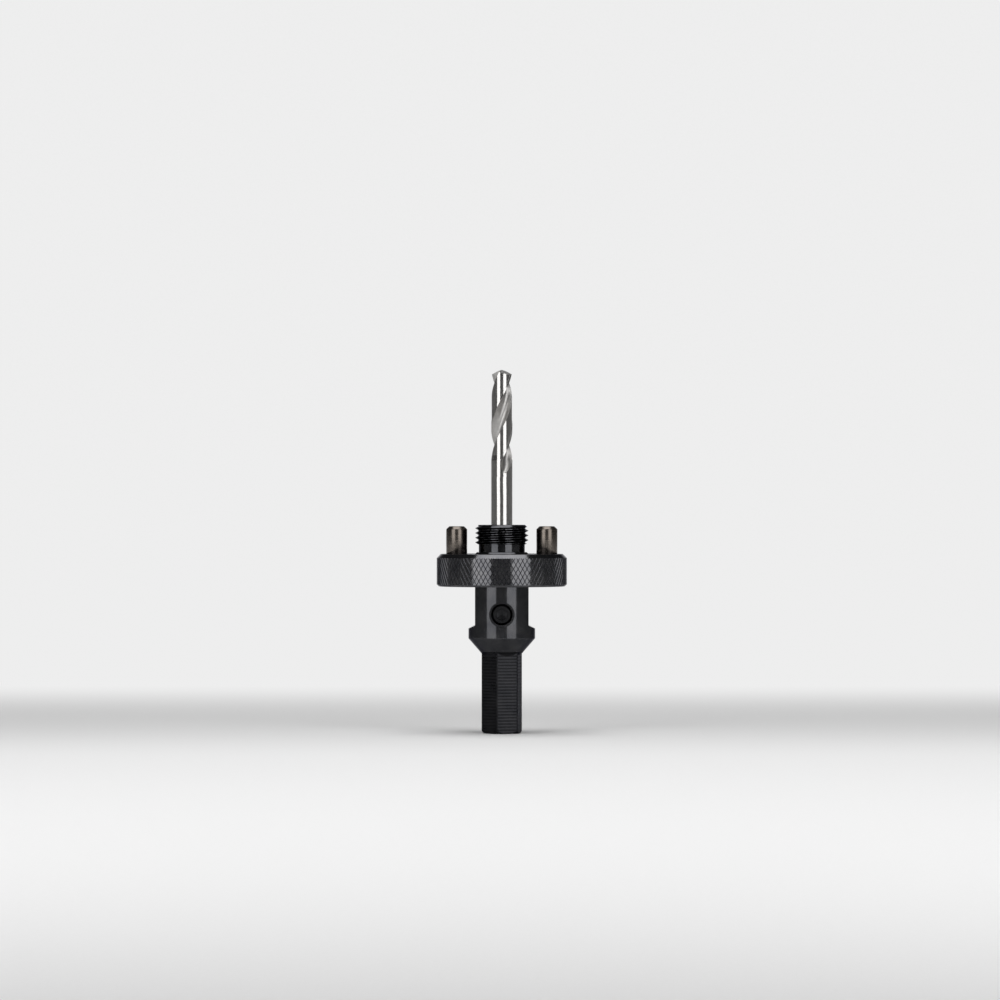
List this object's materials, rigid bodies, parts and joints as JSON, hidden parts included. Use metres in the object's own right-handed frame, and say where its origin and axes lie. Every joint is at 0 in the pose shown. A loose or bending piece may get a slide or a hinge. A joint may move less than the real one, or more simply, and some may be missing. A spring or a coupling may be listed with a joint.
{
  "type": "hole saw arbor",
  "caption": "Hole saw arbor: hex shank, threaded nose for the saw, knurled sliding collar with drive pins, and a twist drill as pilot.",
  "frame": {"origin": "centre of the hex shank's end face, on which the arbor stands", "axes": "+Z along the arbor's axis towards the pilot drill's tip, -Y towards the side with the set screw, +X to the right of that side, through one drive pin"},
  "size_m": [0.039, 0.039, 0.1088],
  "materials": {
    "arbor_black": "black oxide over turned and milled steel, lightly oiled",
    "collar_black": "black oxide over a diamond knurl, lightly oiled",
    "screw_black": "black oxide",
    "pin_steel": "hardened steel, darkened by heat treatment",
    "drill_steel": "bright, ground"
  },
  "bodies": {
    "arbor": {"arbor_body": "arbor_black", "set_screw": "screw_black", "pilot_drill": "drill_steel"},
    "collar": {"drive_collar": "collar_black", "drive_pin_left": "pin_steel", "drive_pin_right": "pin_steel"}
  },
  "joints": [
    {"name": "collar_slide", "type": "slide", "parent": "arbor", "child": "collar", "axis": [0, 0, 1], "range_m": [-0.0112, 0]}
  ]
}
